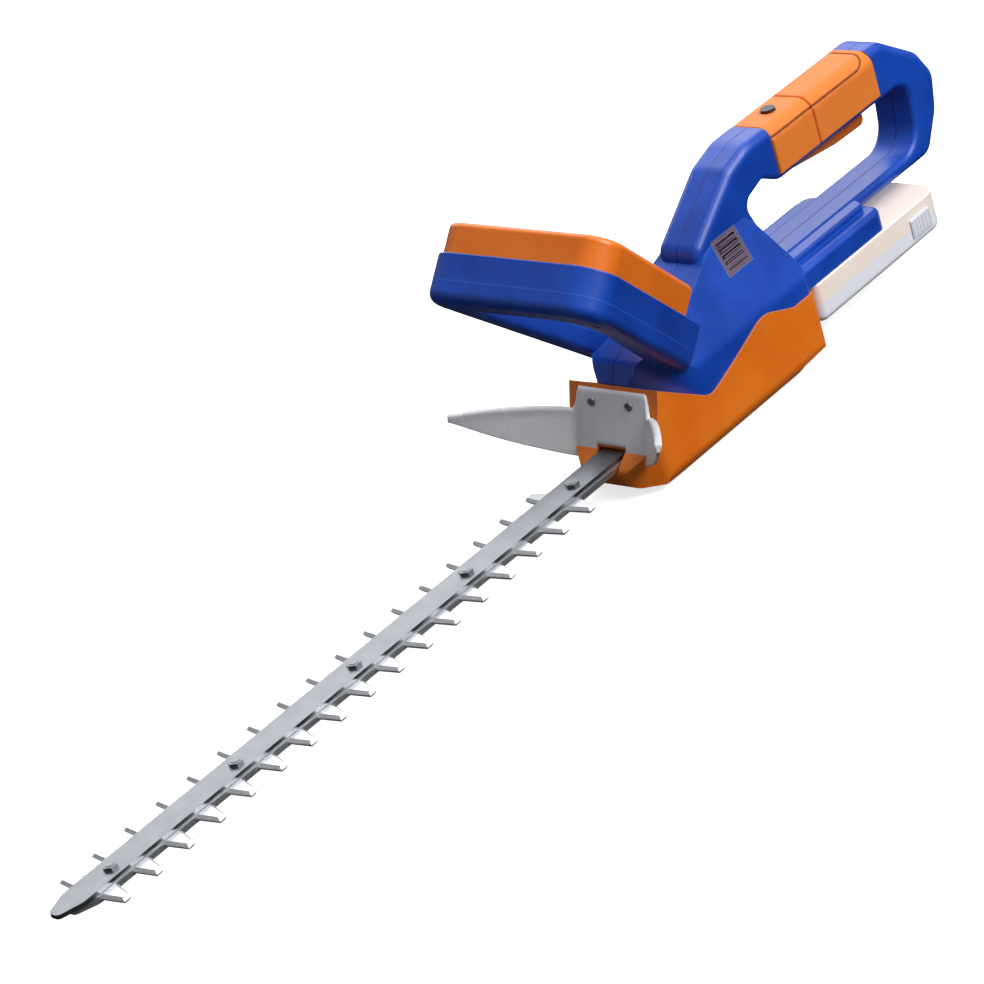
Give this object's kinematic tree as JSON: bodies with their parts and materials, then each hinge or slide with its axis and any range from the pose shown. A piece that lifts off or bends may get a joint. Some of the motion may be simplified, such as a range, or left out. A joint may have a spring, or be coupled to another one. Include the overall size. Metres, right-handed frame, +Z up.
{
  "type": "hedge trimmer",
  "caption": "Cordless hedge trimmer with toothed sliding blades, rear loop handle, leaning front handle, hand guard and slide-on battery.",
  "frame": {"origin": "middle of the flat foot pad under the gearbox", "axes": "+X forward along the blades, +Y to the left, +Z up"},
  "size_m": [0.9058, 0.184, 0.201],
  "materials": {
    "blue_abs": "satin moulded ABS",
    "orange_abs": "satin moulded ABS",
    "orange_tpe": "soft-touch overmould",
    "orange_trigger": "fine texture",
    "clear_polycarbonate": "smoked clear, polished",
    "vent_plastic": "moulded grille",
    "black_abs": "moulded",
    "pale_case_upper": "fine texture",
    "pale_case_lower": "fine texture",
    "pale_button": "ribbed",
    "cell_sleeve": "shrink sleeve",
    "nickel_strip": "plated",
    "copper": "bare",
    "circuit_board": "solder mask",
    "blade_steel": "ground",
    "bar_steel": "rolled",
    "bolt_steel": "zinc plated",
    "cast_aluminium": "die cast",
    "zinc_steel": "zinc plated",
    "gear_steel": "hardened",
    "bearing_bronze": "sintered",
    "ferrite": "sintered",
    "spring_steel": "drawn",
    "wire_red": "insulation",
    "wire_black": "insulation"
  },
  "bodies": {
    "housing": {"housing_left": "blue_abs", "housing_right": "blue_abs", "belly_left": "orange_abs", "belly_right": "orange_abs", "grip_pad_front": "orange_tpe", "grip_pad_rear": "orange_tpe", "front_handle_front": "blue_abs", "front_handle_rear": "blue_abs", "hand_guard": "clear_polycarbonate", "guard_screws": "bolt_steel", "vent_left": "vent_plastic", "vent_right": "vent_plastic", "motor_can": "zinc_steel", "motor_magnets": "ferrite", "motor_end_cap": "black_abs", "motor_mount": "zinc_steel", "gearbox_base": "cast_aluminium", "gearbox_cover": "cast_aluminium", "gearbox_screws": "bolt_steel", "upper_bearing": "bearing_bronze", "lower_bearing": "bearing_bronze", "guide_bar": "bar_steel", "guide_bar_screws": "bolt_steel", "blade_bolts": "bolt_steel", "blade_nuts": "bolt_steel", "trigger_pin": "bolt_steel", "rear_switch": "black_abs", "front_switch": "black_abs", "terminal_block": "black_abs", "terminal_blades": "copper", "control_board": "circuit_board", "housing_screws": "bolt_steel", "belly_screws": "bolt_steel", "front_handle_screws": "bolt_steel", "motor_leads": "wire_red", "battery_leads": "wire_red", "switch_leads": "wire_black", "trigger_spring": "spring_steel", "lock_off_spring": "spring_steel"},
    "gear": {"drive_gear": "gear_steel", "gear_shaft": "gear_steel", "upper_cam": "gear_steel", "lower_cam": "gear_steel"},
    "rotor": {"armature": "copper", "motor_shaft": "gear_steel", "cooling_fan": "black_abs", "pinion": "gear_steel"},
    "upper_blade": {"upper_blade": "blade_steel"},
    "lower_blade": {"lower_blade": "blade_steel"},
    "trigger": {"rear_trigger": "orange_trigger"},
    "lock_off": {"lock_off_button": "black_abs"},
    "switch_bar": {"front_switch_bar": "orange_abs"},
    "battery": {"battery_case_top": "pale_case_upper", "battery_case_bottom": "pale_case_lower", "battery_cells": "cell_sleeve", "cell_frame": "black_abs", "cell_straps": "nickel_strip", "battery_screws": "bolt_steel"},
    "release_left": {"release_button_left": "pale_button"},
    "release_right": {"release_button_right": "pale_button"}
  },
  "joints": [
    {"name": "gear_spin", "type": "hinge", "parent": "housing", "child": "gear", "pos_m": [0.03, 0, 0.03], "axis": [0, 0, 1], "continuous": true},
    {"name": "rotor_spin", "type": "hinge", "parent": "housing", "child": "rotor", "pos_m": [-0.003, 0, 0.06], "axis": [0, 0, 1], "continuous": true},
    {"name": "upper_blade_slide", "type": "slide", "parent": "housing", "child": "upper_blade", "axis": [1, 0, 0], "range_m": [-0.008, 0.008]},
    {"name": "lower_blade_slide", "type": "slide", "parent": "housing", "child": "lower_blade", "axis": [1, 0, 0], "range_m": [-0.008, 0.008]},
    {"name": "trigger_squeeze", "type": "hinge", "parent": "housing", "child": "trigger", "pos_m": [-0.112, 0, 0.13], "axis": [0, 1, 0], "range_deg": [0, 5], "stiffness_Nm_per_rad": 2, "springref_deg": -6.88, "deforming": ["trigger_spring"]},
    {"name": "lock_off_press", "type": "slide", "parent": "housing", "child": "lock_off", "axis": [0, 0, -1], "range_m": [0, 0.003], "stiffness_N_per_m": 400, "springref_m": -0.003, "deforming": ["lock_off_spring"]},
    {"name": "switch_bar_squeeze", "type": "slide", "parent": "housing", "child": "switch_bar", "axis": [0.6947, 0, -0.7193], "range_m": [0, 0.004], "stiffness_N_per_m": 1500, "springref_m": -0.004},
    {"name": "battery_slide", "type": "slide", "parent": "housing", "child": "battery", "axis": [-1, 0, 0], "range_m": [0, 0.12]},
    {"name": "release_left_press", "type": "slide", "parent": "battery", "child": "release_left", "axis": [0, -1, 0], "range_m": [0, 0.0025], "stiffness_N_per_m": 500, "springref_m": -0.002},
    {"name": "release_right_press", "type": "slide", "parent": "battery", "child": "release_right", "axis": [0, 1, 0], "range_m": [0, 0.0025], "stiffness_N_per_m": 500, "springref_m": -0.002}
  ],
  "couplings": [
    {"joint": "rotor_spin", "follows": "gear_spin", "ratio": -4.5},
    {"joint": "lower_blade_slide", "follows": "upper_blade_slide", "ratio": -1}
  ]
}
